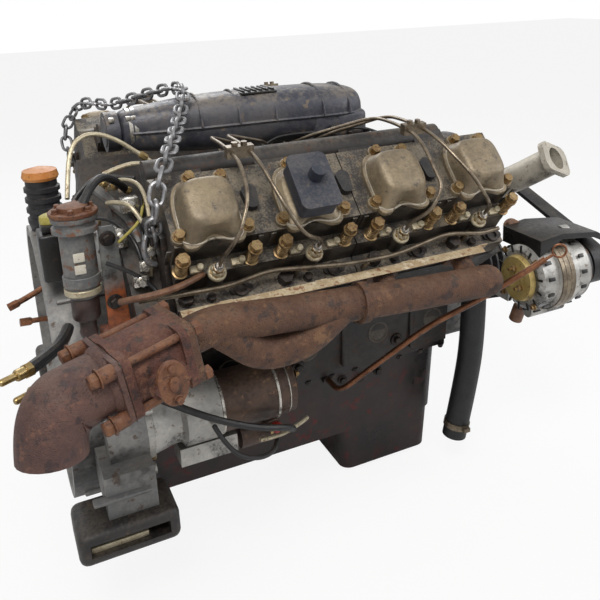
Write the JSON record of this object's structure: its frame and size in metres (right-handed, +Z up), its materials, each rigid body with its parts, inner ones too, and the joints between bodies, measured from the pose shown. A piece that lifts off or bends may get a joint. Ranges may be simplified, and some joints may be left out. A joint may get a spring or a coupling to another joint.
{
  "type": "v8 diesel engine",
  "caption": "Large V-type truck diesel engine with two banks of cylinders, gear-driven camshaft, exhaust brake, starter, alternator, belt drive and flywheel housing.",
  "frame": {"origin": "crankshaft axis at the rear face of the flywheel housing", "axes": "+X forward along the crankshaft, +Z up between the banks, right-hand bank on the -Y side"},
  "size_m": [1.2146, 1.1357, 0.9314],
  "materials": {
    "block_paint": "worn dark paint over cast iron",
    "head_iron": "oily cast iron",
    "gasket_steel": "thin sheet",
    "cover_aluminium": "sand-cast, dulled",
    "breather_paint": "dark paint",
    "plated_bolts": "yellow zinc plating",
    "black_bolts": "black phosphate",
    "rubber": "matte",
    "pump_aluminium": "cast",
    "line_steel": "drawn tube",
    "duct_paint": "dark painted casting",
    "exhaust_iron": "rusted",
    "shield_steel": "rust-flecked sheet",
    "brake_iron": "rusted red-brown",
    "brake_steel": "rust-stained steel",
    "elbow_iron": "satin rust",
    "housing_iron": "grey, oily",
    "foot_iron": "oily black",
    "starter_aluminium": "cast, stained",
    "starter_paint": "dark brown",
    "gear_steel": "machined",
    "pulley_paint": "black",
    "sump_paint": "oily brown-black",
    "outlet_aluminium": "cast",
    "tube_copper": "brown coppery",
    "chain_steel": "galvanised",
    "filler_plastic": "ribbed black",
    "cap_plastic": "orange",
    "filter_paint": "grey",
    "piston_aluminium": "machined"
  },
  "bodies": {
    "engine": {"crankcase": "block_paint", "cylinder_heads_right": "head_iron", "cylinder_heads_left": "head_iron", "head_gaskets": "gasket_steel", "rocker_covers_right": "cover_aluminium", "rocker_covers_left": "cover_aluminium", "breather_box": "breather_paint", "cover_bolts": "plated_bolts", "head_bolts": "black_bolts", "tension_bolts": "plated_bolts", "tension_springs": "plated_bolts", "injector_inlets": "plated_bolts", "port_covers": "black_bolts", "rubber_plugs": "rubber", "injection_pump": "pump_aluminium", "injection_pipes": "line_steel", "leak_off_pipes": "line_steel", "intake_manifold": "block_paint", "intake_duct": "duct_paint", "exhaust_manifold_rear": "exhaust_iron", "exhaust_manifold_front": "exhaust_iron", "exhaust_manifold_left": "exhaust_iron", "heat_shield": "shield_steel", "brake_body": "brake_iron", "brake_bolts": "brake_steel", "exhaust_elbow": "elbow_iron", "flywheel_housing": "housing_iron", "engine_feet": "foot_iron", "starter_housing": "starter_aluminium", "starter_motor": "starter_paint", "timing_case": "housing_iron", "sump": "sump_paint", "water_pump": "housing_iron", "alternator_body": "starter_aluminium", "drive_belt": "rubber", "water_outlet": "outlet_aluminium", "coolant_hose": "rubber", "hose_clamp": "line_steel", "dipstick_tube": "tube_copper", "lifting_chain": "chain_steel", "filler_neck": "filler_plastic", "fuel_filter": "filter_paint"},
    "crank_train": {"crankshaft": "gear_steel", "flywheel": "gear_steel", "crank_pulley": "pulley_paint"},
    "cam_train": {"camshaft": "gear_steel"},
    "water_pump_wheel": {"water_pump_pulley": "pulley_paint"},
    "alternator_wheel": {"alternator_rotor": "pulley_paint"},
    "starter_drive": {"starter_pinion": "gear_steel"},
    "butterfly": {"brake_butterfly": "brake_steel"},
    "stick": {"dipstick": "tube_copper"},
    "cap": {"filler_cap": "cap_plastic"},
    "piston_right_1_body": {"piston_right_1": "piston_aluminium"},
    "piston_right_2_body": {"piston_right_2": "piston_aluminium"},
    "piston_right_3_body": {"piston_right_3": "piston_aluminium"},
    "piston_right_4_body": {"piston_right_4": "piston_aluminium"},
    "piston_left_1_body": {"piston_left_1": "piston_aluminium"},
    "piston_left_2_body": {"piston_left_2": "piston_aluminium"},
    "piston_left_3_body": {"piston_left_3": "piston_aluminium"},
    "piston_left_4_body": {"piston_left_4": "piston_aluminium"}
  },
  "joints": [
    {"name": "crank_spin", "type": "hinge", "parent": "engine", "child": "crank_train", "pos_m": [0.3, 0, 0], "axis": [1, 0, 0], "continuous": true},
    {"name": "cam_spin", "type": "hinge", "parent": "engine", "child": "cam_train", "pos_m": [0.3, 0, 0.168], "axis": [1, 0, 0], "continuous": true},
    {"name": "water_pump_spin", "type": "hinge", "parent": "engine", "child": "water_pump_wheel", "pos_m": [1, 0, 0.19], "axis": [1, 0, 0], "continuous": true},
    {"name": "alternator_spin", "type": "hinge", "parent": "engine", "child": "alternator_wheel", "pos_m": [0.95, -0.38, 0.124], "axis": [1, 0, 0], "continuous": true},
    {"name": "starter_pinion_spin", "type": "hinge", "parent": "engine", "child": "starter_drive", "pos_m": [0.1, -0.263, -0.04], "axis": [1, 0, 0], "continuous": true},
    {"name": "butterfly_close", "type": "hinge", "parent": "engine", "child": "butterfly", "pos_m": [0.10016, -0.53082, 0.2196], "axis": [0.2544, -0.9671, 0.0001], "range_deg": [0, 85]},
    {"name": "dipstick_pull", "type": "slide", "parent": "engine", "child": "stick", "axis": [0.6968, -0.4327, 0.5721], "range_m": [0, 0.35]},
    {"name": "filler_cap_turn", "type": "hinge", "parent": "engine", "child": "cap", "pos_m": [0.034, 0, 0.38], "axis": [0, 0, 1], "range_deg": [0, 90]},
    {"name": "piston_right_1_stroke", "type": "slide", "parent": "engine", "child": "piston_right_1_body", "axis": [0, -0.7071, 0.7071], "range_m": [-0.11465, 0.02535]},
    {"name": "piston_right_2_stroke", "type": "slide", "parent": "engine", "child": "piston_right_2_body", "axis": [0, -0.7071, 0.7071], "range_m": [-0.11465, 0.02535]},
    {"name": "piston_right_3_stroke", "type": "slide", "parent": "engine", "child": "piston_right_3_body", "axis": [0, -0.7071, 0.7071], "range_m": [-0.01565, 0.12435]},
    {"name": "piston_right_4_stroke", "type": "slide", "parent": "engine", "child": "piston_right_4_body", "axis": [0, -0.7071, 0.7071], "range_m": [-0.01565, 0.12435]},
    {"name": "piston_left_1_stroke", "type": "slide", "parent": "engine", "child": "piston_left_1_body", "axis": [0, 0.7071, 0.7071], "range_m": [-0.11465, 0.02535]},
    {"name": "piston_left_2_stroke", "type": "slide", "parent": "engine", "child": "piston_left_2_body", "axis": [0, 0.7071, 0.7071], "range_m": [-0.01565, 0.12435]},
    {"name": "piston_left_3_stroke", "type": "slide", "parent": "engine", "child": "piston_left_3_body", "axis": [0, 0.7071, 0.7071], "range_m": [-0.11465, 0.02535]},
    {"name": "piston_left_4_stroke", "type": "slide", "parent": "engine", "child": "piston_left_4_body", "axis": [0, 0.7071, 0.7071], "range_m": [-0.01565, 0.12435]}
  ],
  "couplings": [
    {"joint": "cam_spin", "follows": "crank_spin", "ratio": -0.5},
    {"joint": "water_pump_spin", "follows": "crank_spin", "ratio": 1.0455},
    {"joint": "alternator_spin", "follows": "crank_spin", "ratio": 2.4211}
  ]
}
